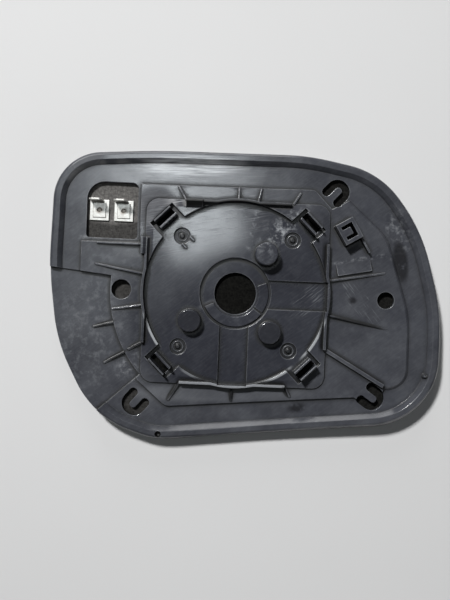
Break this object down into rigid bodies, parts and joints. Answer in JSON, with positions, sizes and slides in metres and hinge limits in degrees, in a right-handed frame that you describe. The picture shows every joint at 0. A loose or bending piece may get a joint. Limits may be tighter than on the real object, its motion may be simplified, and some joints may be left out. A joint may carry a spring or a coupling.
{
  "type": "heated car door mirror glass",
  "caption": "Convex door mirror glass on a moulded plastic backing plate, with a snap-in actuator seat, heater film and blade terminals behind it.",
  "frame": {"origin": "centre of the hub bore, at its mouth in the back of the plate", "axes": "+Z leaves the back of the plate along the hub axis, +Y is the mirror's top edge, +X its outer end"},
  "size_m": [0.1917, 0.1413, 0.014],
  "materials": {
    "plate": "satin moulded",
    "film": "printed film",
    "mirror": "silvered glass",
    "tinned": "tinned"
  },
  "bodies": {
    "root": {"backing_plate": "plate", "heater_pad": "film", "mirror_glass": "mirror", "heater_terminal_left": "tinned", "heater_terminal_right": "tinned"}
  },
  "joints": []
}
